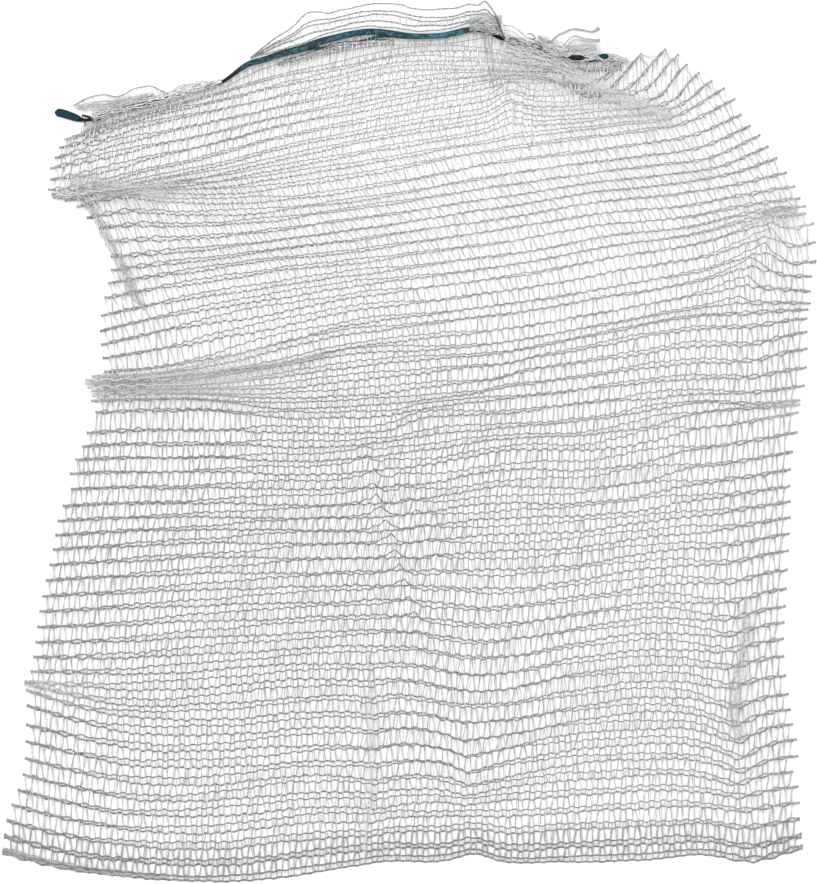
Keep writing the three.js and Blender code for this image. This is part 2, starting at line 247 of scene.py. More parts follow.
RIGHT_SEAM = (
    (0, 221.5, -228.5), (1, 221, -222), (2, 220, -212.5), (4, 219.5, -194.5), (5, 216.5, -186),
    (6, 219.5, -177), (8, 216.5, -159), (10, 214, -142.5), (12, 211.5, -121), (16, 213, -83), (18, 214, -61.5),
    (20, 215, -43), (24, 216.5, -6), (25, 219, 5), (26, 219.5, 16), (27, 220.5, 20), (28, 220.5, 23),
    (29, 223, 31), (31, 224.5, 52), (33, 224.5, 69), (34, 225, 74), (35, 226.5, 77.5), (37, 227, 92.5),
    (38, 229.5, 101), (39, 229, 112), (40, 228, 122.5), (41, 223.5, 128), (42, 223.5, 132), (43, 220.5, 136.5),
    (44, 217.5, 143), (46, 207.5, 159), (48, 198, 172), (50, 187.5, 183.5), (51, 184, 192.5), (53, 171, 203),
    (55, 157, 212), (57, 145, 220.5), (58, 131.5, 218), (59, 123, 214.5), (LAST_ROW, 120.5, 209),
)

# Hem: place, x, y
HEM_LINE = (
    (0, -228, -231), (0.06, -201, -238), (0.15, -161, -243.4), (0.3, -94, -245.5), (0.43, -34, -237.8),
    (0.47, -16, -235), (0.56, 24, -233.7), (0.585, 36, -230.8), (0.62, 52, -234.8), (0.7, 88, -235),
    (0.8, 134, -233.6), (0.88, 169, -231.3), (0.93, 192, -235.2), (1, 222, -228.2),
)
HEM_FADE_ROWS = 2.5

# Free edge above the drawstring: x, y of its top in the middle and at the left, and its foot over the cord
FRILL_TOP = (
    (-88.5, 215.6), (-76.5, 225), (-64, 233.5), (-58.5, 239.5), (-43, 241), (-34, 243), (-16, 246), (-6, 245.5),
    (3.5, 242.5), (12.5, 242), (23.5, 243), (34.5, 245.5), (40, 245.5), (43.5, 247.5), (47.5, 243),
    (50.5, 238.5),
)
FRILL_STITCHES = 42
FRILL_FOOT = 3.2
FRILL_SHARES = {"front": (0, 0.5), "back": (0.24, 0.43)}  # share of the height of the lowest row, and step
FRILL_CHAIN_SHARE = 0.8
FRILL_ROWS = {"front": 3, "back": 2}
FRILL_LEAST_HEIGHT = 0.2
FRILL_LEAST_RELAX = 0.1
FRILL_WANDER = 0.3  # share of the sack's width over which its rows wander
LEFT_FRILL_TOP = (
    (-188, 188.5), (-181, 192.5), (-178, 193.5), (-169, 194.6), (-165, 193.5), (-160, 194.6), (-154, 198),
    (-148.5, 199.1), (-145, 199.7), (-142, 198.7), (-139, 197), (-134.5, 195.3),
)

# How far a row hangs below the line between its ends: row, then one drop for each place
SAG_PLACES = (0, 0.06, 0.14, 0.25, 0.36, 0.48, 0.6, 0.72, 0.84, 0.93, 1)
ROW_SAG = (
    (0, 0, 6, 13.5, 17, 12.5, 6, 3.5, 5.5, 4, 4, 0),
    (5, 0, 6.5, 12.5, 12.5, 7.5, 5.5, 6.5, 2, -0.5, 1.5, 0),
    (8, 0, 6, 12, 12.5, 8.5, 6, 10, 2.5, 0, 2, 0),
    (10, 0, 7.8, 13, 13, 8.6, 6.2, 12.1, 4.3, -1.1, 1.7, 0),
    (11, 0, 6, 11, 9.5, 6, 4, 10.5, 3, -0.5, 1.5, 0),
    (12, 0, 2.5, 5, 3.8, 1.5, 1.2, 9.4, 3.3, -0.5, 1.7, 0),
    (14, 0, 1, 1.5, 0, -1, -0.5, 8, 2.5, -0.5, 2, 0),
    (18, 0, 0, 0, 0, 1, 3, 7.5, 6, 2.5, 2.5, 0),
    (22, 0, 0, 0.5, 2, 4, 6, 5, 6.5, 3.5, 2.5, 0),
    (26, 0, 1, 3.5, 6.5, 10, 10, 6.5, 9, 4.5, 3, 0),
    (29, 0, 0, 2, 4.5, 7.5, 3.5, 3.5, 1, -0.5, 1.5, 0),
    (31, 0, 1, 3, 9.5, 12, 11.5, 8.5, 5, 2, 2, 0),
    (34, 0, 1.7, 4.7, 5.2, 3.2, 4.1, 5, 0.5, -3, -1.5, 0),
    (35, 0, 2.1, 4.2, 2.4, -1.7, 1.5, 2.4, -1.1, -4, -3.4, 0),
    (36, 0, 2.6, 3.7, 3.4, -0.9, -1, -0.1, -2.7, -5, -5.3, 0),
    (37, 0, 3, 3.2, -1.5, -5, -3.6, -2.7, -4.3, -6, -7.2, 0),
    (40, 0, -1.5, -3, -3.5, -3.5, -0.5, 1, 0, 0.5, -2.5, 0),
    (44, 0, -0.5, -0.5, -0.5, 1, 1, 1, -0.5, 2, 0.5, 0),
    (48, 0, 1.3, 6, 8.7, 9, 9, 8.5, 8, 8.5, 8.5, 0),
    (50, 0, -2.3, 3.6, 9.5, 11.5, 11, 8.5, 8, 8.5, 7.5, 0),
    (52, 0, 0.5, 3, 7.2, 8, 8.5, 8, 8.3, 10.5, 11, 0),
    (54, 0, 2.4, 3.6, 4.2, 3, 2.2, 3.4, 5.3, 10.5, 12, 0),
    (56, 0, 2.7, 0.6, 0.6, -1.5, -1, -0.4, 2.8, 9.3, 14, 0),
    (58, 0, -0.8, -1.4, -1.8, -3.5, -4.4, -4.3, -3, 4, 19, 0),
    (60, 0, -1.8, -5.7, -7.3, -9.6, -12.8, -15.7, -11, -4, 1, 0),
    (LAST_ROW, 0, -3.2, -7.1, -12.7, -18.2, -21.3, -24.4, -21, -11, -2.4, 0),
)

# Gathers, where rows lie bunched: places of full strength, fades, centre row at each end, reach, lift, paleness
Gather = namedtuple("Gather", "full fade row reach lift pale")
GATHERS = (
    Gather((-0.1, 0.15), (0.05, 0.22), (33.8, 34.6), 5.8, 7, 0.42),
    Gather((0.02, 0.11), (0.03, 0.14), (53.4, 52.1), 4.6, 8, 0.42),
    Gather((0.95, 0.99), (0.12, 0.03), (40.6, 41.2), 4.7, 6, 0.18),
    Gather((0.76, 0.9), (0.04, 0.07), (59.9, 54.1), 5.8, 7, 0.34),
    Gather((0.92, 1.1), (0.06, 0.05), (60.6, 60.6), 3, 0, 0.32),
    Gather((-0.1, 0.02), (0.05, 0.16), (11.4, 11.4), 3, 1.5, 0.24),
    Gather((0.98, 1.1), (0.08, 0.05), (27.2, 27.2), 3, 1.5, 0.2),
)

# Creases cross the rows: rows, fade, place at each end, reach left and right, power of the flanks, shift,
# the share of the shift that the back layer takes, and lift
Crease = namedtuple("Crease", "rows fade place reach power shift back lift")
CREASES = (
    Crease((52.8, 57), 1.8, (0.69, 0.745), (0.034, 0.042), 1.8, 7, 0.8, 4),
    Crease((53.2, 56.3), 1.3, (0.965, 0.957), (0.06, 0.03), 1.8, -6, 1, 2),
    Crease((4.8, 8.5), 3, (0.575, 0.57), (0.03, 0.05), 1.5, -6, 1, 4),
    Crease((10.5, 18.5), 3, (0.925, 0.925), (0.09, 0.05), 1.8, -3, 1, 3),
    Crease((29.8, 33), 1.2, (0.925, 0.925), (0.09, 0.05), 1.8, -2.5, 1, 3),
    Crease((26.4, 28.6), 0.6, (0.92, 0.85), (0.16, 0.11), 2, 3.5, 1, 1),
    Crease((28, 30), 0.8, (0.44, 0.425), (0.08, 0.036), 1.6, -3.4, 0.7, 1),
    Crease((28.8, 29.6), 0.6, (0.445, 0.44), (0.036, 0.12), 1.6, 3.4, 0.7, 1),
    Crease((31, 33.5), 1, (0.567, 0.61), (0.07, 0.024), 1.5, -2.6, 0.6, 1),
    Crease((31, 33.5), 1, (0.567, 0.61), (0.024, 0.07), 1.5, 2.6, 0.6, 1),
    Crease((4.5, 10), 3, (0.925, 0.93), (0.05, 0.04), 1.5, -8, 1, 4),
    Crease((35, 40.3), 1, (0.902, 0.948), (0.065, 0.018), 1.3, 7, 0.45, 3),
    Crease((37, 40.6), 1.2, (0.965, 0.972), (0.03, 0.03), 1.8, -3, 1, 1),
    Crease((13.7, 27), 2.5, (0.517, 0.4), (0.026, 0.011), 1, 6, 0, 4),
    Crease((2, 13), 2.5, (0.461, 0.45), (0.06, 0.035), 1.3, -3.2, 1, 1),
    Crease((17, 26), 2, (0.55, 0.44), (0.01, 0.03), 1, 3, 0.3, 3),
)
CREASE_SHARPNESS = 1.5

# How far the front layer's rows lie above the back layer's ones: row, then one value for each place
SHIFT_PLACES = (0, 0.08, 0.14, 0.2, 0.27, 0.32, 0.37, 0.42, 0.48, 0.54, 0.6, 0.65, 0.72, 0.8, 0.86, 0.91, 1)
LAYER_SHIFT = (
    (1, 1.6, 2, 2.4, 2.8, 3.1, 3.4, 3.4, 3.4, 3.2, 3, 2.9, 2.8, 3.1, 3.4, 3.1, 2.8, 1.8),
    (4, 0, 1.3, 2.6, 3.9, 4.9, 5.3, 5.6, 5.6, 5.3, 4.6, 4, 3.7, 3.4, 3.1, 2.8, 2.5, 0),
    (7, 0, 2, 3.7, 4.4, 5, 5.4, 6.2, 7.2, 8.5, 8.5, 8, 7.2, 5, 4.5, 3.7, 2.8, 0),
    (11.5, 0, 2, 3.9, 4.6, 5.3, 5.6, 5.9, 6.3, 7.2, 7.8, 8.4, 8.7, 7.2, 5.5, 5.3, 3.4, 0),
    (14, 0, 1.9, 3.4, 4.4, 5.2, 5.5, 5.8, 6.2, 6.8, 7.4, 8.3, 8.8, 7.4, 5.6, 5.2, 3, 0),
    (17.5, 0, 1.2, 2.2, 3.2, 4.6, 5.4, 6.4, 6.6, 6.2, 7, 7.6, 7.8, 6.6, 5.2, 4.6, 2.2, 0),
    (20.5, 0, 0.9, 2, 2.6, 4.4, 6.2, 8, 8.1, 7.8, 6, 5.2, 5, 5.8, 4.6, 3.9, 2, 0),
    (24.5, 0, 0.5, 1.2, 2.4, 4, 4.6, 5.6, 6.2, 5.6, 3.6, 4, 4.5, 5.2, 8.2, 1.5, 1.2, 0),
    (27, 0, 0.3, 0.5, 1.2, 4, 3.8, 3.6, 3.6, 3.2, 3, 2.6, 2.2, 1.6, 5, 0.5, 0.6, 0),
    (29.5, 0, 1, 1.2, 0.8, 4, 3.4, 3.4, 3, 3, 2.4, 1.2, 0.6, 1.2, 2.6, 2, 1.2, 0),
    (32.5, 0, 0, 0.6, 1.2, 2.8, 3.4, 3.6, 3.4, 2.6, 1.6, 0.8, 0.6, 1.7, 1.4, 1.7, 1.7, 0),
    (35.3, 0, 0, 0.3, 0.8, 1.6, 2.6, 2.8, 2.8, 2, 0.6, 0.3, 0.3, 0.5, 0.5, 0.8, 1, 0),
    (38, 0, 0, 2.3, 4.6, 4.6, 2.8, 2.8, 1.4, 0.2, 0.2, 0.2, 0.2, 0.2, 0.2, 0.5, 0.8, 0),
    (42, 0, 0, 2.3, 2.8, 2.8, 2.8, 3.2, 1.7, 0.2, 0.2, 0.2, 0.2, 0.2, 0.2, 0.5, 0.8, 0),
    (46, 0, 2.2, 1.8, 0.3, 0.3, 0.3, 0.2, 0.2, 0.2, 0.2, 0.2, 0.2, 0.2, 0.2, 0.4, 0.4, 0),
    (49, 0, 1.8, 1.7, 2.2, 2.8, 0.8, 1.7, 1.7, 0.8, 0.3, 0.2, 0.2, 0.2, 0.2, 0.3, 0.4, 0),
    (53.5, 0, 1, 2, 3, 2.5, 2.2, 2.2, 2.2, 1.8, 2, 1.4, 2.2, 2.2, 2, 1, 0.8, 0),
    (57, 0, 2.8, 1.6, 0.2, 0.2, 0.2, 0.3, 0.6, 2, 2.6, 2.6, 2.6, 2.4, 2.2, 1, 0.8, 0),
    (60, 0, 2.6, 2.4, 1.2, 0.2, 0.2, 0.6, 1.4, 2.2, 2.6, 2.6, 2.4, 2, 1.6, 1, 0.8, 0),
    (LAST_ROW, 0, 0.4, 0.6, 0.6, 0.6, 0.8, 1.4, 2, 2.6, 3, 3, 2.6, 2, 1, 0.6, 0.6, 0),
)

# How far the upper end of a tie lies to the left of its lower end: row, distance
TIE_LEAN = ((0, 0), (28, 0), (36, 0.8), (42, 2.6), (48, 3.4), (51, 2.8), (54, 0.8), (LAST_ROW, 0.2))

# Bunched threads: route, half width along it, count, height, wander, half width of a thread, tone, how uneven
# the tone is, and step of the ties across them
Bunch = namedtuple("Bunch", "route reach threads height wander half_width tone uneven tie_step")
LEFT_BUNCH_END = 0.3  # places on the cord's line
RIGHT_BUNCH_START = 0.73
BUNCHES = {
    "left": Bunch(
        tuple((x, y) for place, x, y in CORD_LINE if place < LEFT_BUNCH_END),
        ((0, 2.2), (0.5, 2.8), (0.9, 2), (1, 0.8)),
        12, 5.6, 0.45, 0.2, (0.54, 0.72), 0.15, 1.2,
    ),
    "lip": Bunch(
        ((-73, 211.5), (-60, 215), (-41, 220.6), (-20, 224), (-8, 224.4)),
        ((0, 0.6), (0.3, 1.9), (0.8, 1.7), (1, 0.6)),
        7, 3.2, 0.3, 0.24, 0.4, 0.2, 1.1,
    ),
    "knot": Bunch(
        ((34.5, 234), (39, 234), (43.5, 234), (47, 233.8), (52.5, 233.4)),
        ((0, 3), (0.3, 4.4), (1, 5.6)),
        19, 6.2, 0.25, 0.24, 0.4, 0.14, 3,
    ),
    "fold": Bunch(
        ((53.5, 221), (68.5, 215.5), (83.8, 211.5), (95.6, 204.8), (105.2, 198.6), (116.4, 193.8),
         (126.6, 189.7), (137.8, 185.8), (148, 182.4)),
        ((0, 4.6), (0.2, 4.5), (0.4, 3.5), (0.56, 2.8), (0.75, 2.3), (1, 1.2)),
        24, 9.5, 0.8, 0.13, (0.74, 0.66), 0.03, 0.9,
    ),
    "right": Bunch(
        tuple((x, y) for place, x, y in CORD_LINE if place > RIGHT_BUNCH_START), ((0, 3), (0.5, 2.6), (1, 1.1)),
        12, 5.6, 0.7, 0.2, (0.45, 0.62), 0.1, 3,
    ),
    "gather": Bunch(  # heart of the gather at the upper left
        ((-189, 146.5), (-180, 145), (-170.5, 143.2), (-153.5, 140.7), (-136.5, 138)),
        ((0, 2.6), (0.12, 4.4), (0.3, 4.2), (0.55, 2.6), (1, 1)),
        20, 11, 0.9, 0.13, (0.56, 0.66), 0.05, 0.8,
    ),
    "pleat": Bunch(  # pleat that leaves the long gather at the left
        ((-173, 33.5), (-139.5, 34.6), (-117, 36.6), (-100, 39.8), (-77.5, 42), (-61, 45.2), (-48, 48.6)),
        ((0, 2.4), (0.25, 2.8), (0.45, 2.4), (0.6, 1.9), (0.8, 1.3), (1, 0.7)),
        7, 7, 0.4, 0.15, 0.5, 0.1, 4,
    ),
    "pinch": Bunch(  # heart of the pinch at the right
        ((199, 127), (206, 129.3), (212, 129.8), (217.5, 128.5)), ((0, 0.8), (0.6, 1.7), (1, 0.8)),
        6, 9.5, 0.3, 0.19, 0.46, 0.12, 1.4,
    ),
    "shaft": Bunch(  # pleat beside the right seam
        ((189.5, -89), (188, -117.5), (184, -140), (183, -154), (187.5, -168)),
        ((0, 0.6), (0.3, 1.5), (0.6, 2.5), (0.8, 3.1), (1, 0.8)),
        9, 6.5, 0.7, 0.15, 0.6, 0.08, 1.3,
    ),
    "edge": Bunch(  # folded edge below the gather at the upper left
        ((-184.5, 136.7), (-177, 129.4), (-173, 121.5), (-168.5, 113), (-164.5, 106), (-160.8, 99),
         (-157.8, 91.5), (-154.5, 84), (-148, 74)),
        ((0, 1.4), (0.3, 2), (0.6, 2.2), (0.85, 1.8), (1, 0.6)),
        10, 4, 0.6, 0.17, (0.48, 0.58), 0.12, 1.1,
    ),
    "tuft": Bunch(  # threads between the tied mouth and the frayed ends
        ((73, 226.5), (81, 222.4), (88.3, 220.2), (97, 220.6), (106, 220.8)),
        ((0, 0.8), (0.3, 2.6), (0.6, 1.9), (1, 1.1)),
        10, 6, 0.7, 0.16, 0.5, 0.1, 1.4,
    ),
    "frill": Bunch(  # slack threads inside the frill at the left
        ((-186, 187.5), (-177, 188.5), (-165, 189.5), (-153, 192.5), (-143, 195)),
        ((0, 0.6), (0.3, 2.4), (0.6, 2), (1, 0.6)),
        7, 3, 0.6, 0.16, 0.5, 0.12, 1.6,
    ),
    "hem": Bunch(  # dense hem at its left corner
        ((-227.5, -230), (-212, -234), (-195.7, -238.2), (-178.9, -241), (-160, -243), (-135, -244.7)),
        ((0, 1.3), (0.4, 1.4), (0.8, 1), (1, 0.7)),
        6, 1.7, 0.35, 0.22, (0.4, 0.5), 0.08, 1.3,
    ),
    "ridge": Bunch(  # fold line across the lower rows
        ((-22.5, -117.6), (-20.3, -171), (-21.4, -202), (-23.6, -218.8), (-24.8, -235)),
        ((0, 0.4), (0.4, 1.2), (0.7, 1.4), (1, 0.6)),
        4, 5.5, 0.5, 0.12, 0.66, 0.08, 1.6,
    ),
}
BUNCH_STEP = 0.8
BUNCH_FLATNESS = 0.7
BUNCH_WAVES = (31, 11, 4.3)  # lengths of the waves in which bunched threads wander
BUNCH_SIZES = (1, 0.6, 0.35)
BUNCH_RISE = 0.3  # they rise and fall this far, in waves of this length
BUNCH_RISE_WAVE = 7
BUNCH_CROWN = 0.04  # how fast a bunch falls off to its sides
BUNCH_TIE_SIZE = (0.2, 0.14)  # half width and half height
BUNCH_TIE_PALER = 0.1
CORD_WINDOWS = ((94.6, 4.6), (110.6, 2.5))  # x and half width where the cord shows between the threads
WINDOW_PUSH = 1.9  # threads keep this far from the middle of the cord there
WINDOW_POWER = 4
WINDOW_EDGE = 0.3  # strength of a window from which ties pass under the cord
WINDOW_TIE_HEIGHT = 0.5

# Single strands at the mouth: points, half width, tone, height, and the bead at the end where there is one
Strand = namedtuple("Strand", "points half_width tone height bead", defaults=(0,))
STRAND_SAMPLES = 28
STRAND_SIDES = 6
STRAND_UNEVEN = 0.04
BEAD_FADE = 14
STRANDS = [
    # Folded right edge of the tied mouth, near-black for the painted shade along the fold
    Strand(
        ((49.2, 238.5), (51, 234.5), (52.4, 230.5), (54, 226.6), (56.8, 223.2), (60.7, 222.4)),
        0.5, 0.08, 7,
    ),
    Strand(((43.5, 246.5), (46.8, 242.6), (48.8, 239.5)), 0.26, 0.4, 5),
    # Pair that hangs from the knot
    Strand(((42, 228), (44, 219), (45.5, 208.5), (48.5, 197.5)), 0.32, 0.3, 10),
    Strand(((44.5, 228), (46.5, 219), (48, 208.5), (50.5, 198.5)), 0.3, 0.34, 10),
    # Lowest row of the mouth, just below the cord
    Strand(
        ((-103, 198.5), (-83, 208.5), (-61, 214.5), (-38, 218.8), (-16, 222), (7, 222.8), (24, 223.5),
         (36, 225.4), (46, 227)),
        0.3, 0.32, 4,
    ),
    # Thin arcs that leave the tied mouth
    Strand(((53.5, 233.4), (58, 233), (63, 230), (66, 227.3), (70, 225.6), (74.5, 223.3)), 0.28, 0.36, 5),
    Strand(((54, 230.6), (58.5, 230), (62.5, 227.5), (66.5, 224.4)), 0.22, 0.5, 5),
    Strand(((55, 228.4), (58.5, 227.3), (62, 224.4)), 0.22, 0.5, 5),
    # Dark loops
    Strand(((56.3, 224.8), (58, 226), (61, 225.2), (63, 223.4), (60, 222.8), (57, 223.8)), 0.36, 0.1, 6.8),
    Strand(((67, 228.4), (69, 228.6), (71.5, 226), (69, 225.6)), 0.34, 0.16, 6),
    Strand(((69.3, 222.6), (72, 222.8), (75.4, 220.6), (72, 220.5)), 0.36, 0.12, 6.6),
    # Frayed ends that stick out
    Strand(
        ((73, 227.3), (77.5, 224.7), (80, 224.4), (84, 227.8), (87.5, 229.5), (92.5, 231.5), (98.5, 231),
         (104.5, 230.3), (107.5, 232.3)),
        0.58, 0.36, (4.4, 0.8), 0.8,
    ),
    Strand(
        ((87.5, 222), (89.5, 224.7), (93.5, 227.6), (98.5, 226.4), (103, 225.8), (108, 225.5)),
        0.44, 0.42, (5, 1), 1,
    ),
    Strand(((89, 221), (91, 223.6), (94.5, 225.8), (99, 225), (103.5, 224.5), (107.5, 225)), 0.36, 0.5, (5, 1)),
    # Frill at the left
    Strand(LEFT_FRILL_TOP, 0.34, 0.28, (1, 3)),
    Strand(((-185.5, 188), (-179, 190), (-170.5, 191), (-162, 190.5), (-154.5, 193.5)), 0.26, 0.42, 3),
    Strand(((-187, 187), (-181, 188), (-173, 188.6), (-166, 190.6), (-160, 192.4)), 0.24, 0.46, 3.4),
    Strand(((-152.5, 193), (-147, 195.2), (-143.5, 192.6)), 0.24, 0.42, 3),
    # Loose tip of a row below the right end of the cord
    Strand(((110.8, 201.9), (114.2, 205.3), (118.1, 210.4)), 0.48, 0.34, 7, 0.5),
    # Near-black strands beside the loose end
    Strand(((-183, 182.9), (-179.4, 182), (-176, 180.6), (-172.5, 181.2)), 0.75, 0.04, 4.6),
    Strand(((-182, 180.4), (-181.6, 179), (-181.1, 177.2)), 0.5, 0.04, 2.4),
]
NECK_STRANDS = 7  # short strands, side by side, that leave the left end of the mouth
NECK_STEP = 1.4
NECK_POINTS = ((-180, 179.6), (-183, 176), (-184, 171))
NECK_LOOK = (0.24, 0.4, 3)  # half width, tone and height

# Fine webs at the mouth: top and its heights, foot and its height, count of ties
Web = namedtuple("Web", "top top_height foot foot_height ties")
WEBS = {
    "left": Web(
        LEFT_FRILL_TOP, (0.9, 2.9), ((-183, 186), (-177, 185), (-161, 189), (-149, 192), (-135, 195)), 2.6, 40,
    ),
    "right": Web(((91, 224), (95, 226), (108, 225)), (4.4, 1), ((89, 218.6), (98, 218.4), (108, 218.6)), 5, 24),
}

RANDOM = np.random.default_rng(20)
WANDER_WAVES = (2.3, 5.1, 11.0, 23.0)  # waves of a row's own wander across the sack
WANDER_SIZES = (0.30, 0.30, 0.22, 0.14)
ROW_TABLE = BODY_ROWS + 8  # with room for the frill's rows
LAYERS = ("front", "back")
WANDER_PHASE = {layer: RANDOM.uniform(0, 2 * math.pi, (ROW_TABLE, len(WANDER_WAVES))) for layer in LAYERS}
STITCH_JITTER = {layer: RANDOM.normal(0, STITCH_JITTER_SIZE, (ROW_TABLE, STITCHES + 2)) for layer in LAYERS}


def across(places, values, at):
    """Smooth curve through one value for each place; the values lie along the last axis."""
    places = np.asarray(places, float)
    step = np.diff(places)
    rise = np.diff(values, axis=-1) / step
    middle = (rise[..., :-1] * step[1:] + rise[..., 1:] * step[:-1]) / (step[:-1] + step[1:])
    slope = np.concatenate([rise[..., :1], middle, rise[..., -1:]], -1)
    k = np.clip(np.searchsorted(places, at, side="right") - 1, 0, len(step) - 1)

    def pick(table, index):
        return np.take_along_axis(table, index[..., None], -1)[..., 0]

    s = (at - places[k]) / step[k]
    start = pick(values, k) * (1 + 2 * s) + pick(slope, k) * step[k] * s
    end = pick(values, k + 1) * (3 - 2 * s) + pick(slope, k + 1) * step[k] * (s - 1)
    return start * (1 - s) ** 2 + end * s * s


def through(knots, at):
    """Smooth curve through knots of the form (at, value, ...); the values become the last axis."""
    table = np.asarray(knots, float)
    at = np.clip(np.asarray(at, float), table[0, 0], table[-1, 0])
    columns = [np.broadcast_to(column, at.shape + column.shape) for column in table[:, 1:].T]
    return np.stack([across(table[:, 0], column, at) for column in columns], -1)


def table_value(places, table, place, row):
    """Value from a table of rows that each hold one value for each of the places."""
    place, row = alike(place, row)
    return across(places, through(table, row), place)


def smoothstep(low, high, at):
    s = np.clip((at - low) / (high - low), 0, 1)
    return s * s * (3 - 2 * s)


def alike(first, second):
    """Both as arrays of one shape."""
    return np.broadcast_arrays(np.asarray(first, float), np.asarray(second, float))


def route_length(points):
    return float(np.linalg.norm(np.diff(np.asarray(points, float), axis=0), axis=1).sum())


def smooth_route(points, count):
    """A count of points, evenly apart, on a smooth curve through the given points."""
    points = np.asarray(points, float)
    run = np.concatenate([[0], np.cumsum(np.linalg.norm(np.diff(points, axis=0), axis=1))])
    return through(np.column_stack([run, points]), np.linspace(0, run[-1], count))


def gather_strength(gather, place, row):
    """0 on flat net, up to 1 in the heart of a gather."""
    start, end = gather.full
    along = smoothstep(start - gather.fade[0], start, place)
    along = along * (1 - smoothstep(end, end + gather.fade[1], place))
    share = np.clip((place - start) / (end - start), 0, 1)
    centre = gather.row[0] + (gather.row[1] - gather.row[0]) * share
    distance = np.minimum(np.abs(row - centre) / gather.reach, 1)
    return along * (1 - distance ** 2) ** 2


def gather_fold(place, row):
    """Strength of the strongest gather."""
    return np.max([gather_strength(gather, place, row) for gather in GATHERS], axis=0)


def gather_paleness(place, row):
    """How much paler chains are where a gather bunches them."""
    return np.max([gather.pale * gather_strength(gather, place, row) ** 2 for gather in GATHERS], axis=0)


def crease_strength(crease, place, row):
    """0 on flat net, up to 1 on the ridge of a crease."""
    first, last = crease.rows
    along = smoothstep(first - crease.fade, first + crease.fade, row)
    along = along * (1 - smoothstep(last - crease.fade, last + crease.fade, row))
    share = np.clip((row - first) / (last - first), 0, 1)
    offset = place - (crease.place[0] + (crease.place[1] - crease.place[0]) * share)
    reach = np.where(offset < 0, *crease.reach)
    return along * np.exp(-((np.abs(offset) / reach * CREASE_SHARPNESS) ** crease.power))


def hung_point(place, row):
    """Point between a row's two ends, hung by the row's sag."""
    left = through(LEFT_SEAM, row)
    right = through(RIGHT_SEAM, row)
    point = left + (right - left) * place[..., None]
    point[..., 1] -= table_value(SAG_PLACES, ROW_SAG, place, row)
    return point


def plan_point(place, row, layer="front"):
    """Plan position of a place along a row of the body, in mm."""
    place, row = alike(place, row)
    point = hung_point(place, row)
    hem_share = np.exp(-((np.maximum(row, 0) / HEM_FADE_ROWS) ** 2))
    point += (through(HEM_LINE, place) - hung_point(place, 0 * row)) * hem_share[..., None]
    for crease in CREASES:
        share = crease.back if layer == "back" else 1
        point[..., 1] += share * crease.shift * crease_strength(crease, place, row)
    return point


def top_height(place, row):
    """Height of the solid's upper side between its ribs, in mm."""
    level = (1 - np.exp(-place / LOFT_PLACE)) * (1 - np.exp(-(1 - place) / LOFT_PLACE))
    height = SEAM_THICKNESS + LOFT * level * (1 - np.exp(-row / LOFT_ROWS))
    for gather in GATHERS:
        height = height + gather.lift * gather_strength(gather, place, row)
    for crease in CREASES:
        height = height + crease.lift * crease_strength(crease, place, row)
    return height


def seam_share(place):
    """1 at the seams, where the two layers' chains run together, and 0 between them."""
    left, right = SEAM_FADES
    return 1 - smoothstep(*left, place) + smoothstep(*right, place)


def row_wander(layer, table_row, place):
    """Slow wander of one row, so that no two rows are alike."""
    wander = np.zeros(place.shape)
    phase = WANDER_PHASE[layer][table_row]
    for wave, size, turn in zip(WANDER_WAVES, WANDER_SIZES, np.moveaxis(phase, -1, 0)):
        wander = wander + size * np.sin(2 * math.pi * wave * place + turn)
    return wander


def stitch_jitter(layer, table_row, stitch):
    whole = np.clip(np.floor(stitch).astype(int), 0, STITCHES)
    part = stitch - whole
    table = STITCH_JITTER[layer]
    return table[table_row, whole] * (1 - part) + table[table_row, whole + 1] * part


def chain_point(layer, row, stitch):
    """Middle of a chain row of the body at a stitch, in mm: x, y, z."""
    row, stitch = alike(row, stitch)
    place = np.clip(stitch / STITCHES, 0, 1)
    table_row = np.rint(row).astype(int)
    odd = table_row % 2
    point = plan_point(place, row, layer)
    pitch = plan_point(place, row + 0.5)[..., 1] - plan_point(place, row - 0.5)[..., 1]
    relax = np.clip(np.abs(pitch) / ROW_PITCH, *RELAX_RANGE)
    side = 1 if layer == "front" else -1
    seam = seam_share(place)
    from_end = np.minimum(stitch, STITCHES - stitch)
    twist = seam * SEAM_TWIST * smoothstep(0, TWIST_STITCHES, from_end) * side
    turn = math.pi * stitch / TWIST_STITCHES + TWIST_ROW_TURN * row
    pull = STITCH_PULL * np.cos(math.pi * stitch) * (1 - SEAM_PULL_LOSS * seam)
    wander = row_wander(layer, table_row, place) * (1 - SEAM_WANDER_LOSS * seam)
    wander = wander + stitch_jitter(layer, table_row, stitch)
    shift = side * table_value(SHIFT_PLACES, LAYER_SHIFT, place, row) / 2
    y = point[..., 1] + shift + relax * (pull + wander) + twist * np.cos(turn)
    fold = gather_fold(place, row)
    height = top_height(place, row)
    if layer == "front":
        z = height * (1 - FOLD_SINK * fold * odd) + CHAIN_RISE
    else:
        z = BACK_HEIGHT + np.maximum(BACK_FOLD_RISE * (height - SEAM_THICKNESS - LOFT) * fold * odd, 0)
    lowest = CHAIN_HALF_WIDTH * CHAIN_FLATNESS + GROUND_CLEARANCE
    z = np.maximum(z + TWIST_RISE * twist * np.sin(turn), lowest)
    return np.stack([point[..., 0], y, z], -1)


def lip_point(layer, row, stitch):
    """As a chain row, but the row above the last one runs under the lower side of the cord."""
    row, stitch = alike(row, stitch)
    body = chain_point(layer, np.minimum(row, LAST_ROW), stitch)
    mouth = through(CORD_LINE, stitch / STITCHES) - (0, LIP_DROP)
    cord = np.concatenate([mouth, np.full(mouth.shape[:-1] + (1,), LIP_HEIGHT)], -1)
    return np.where((row > LAST_ROW)[..., None], cord, body)


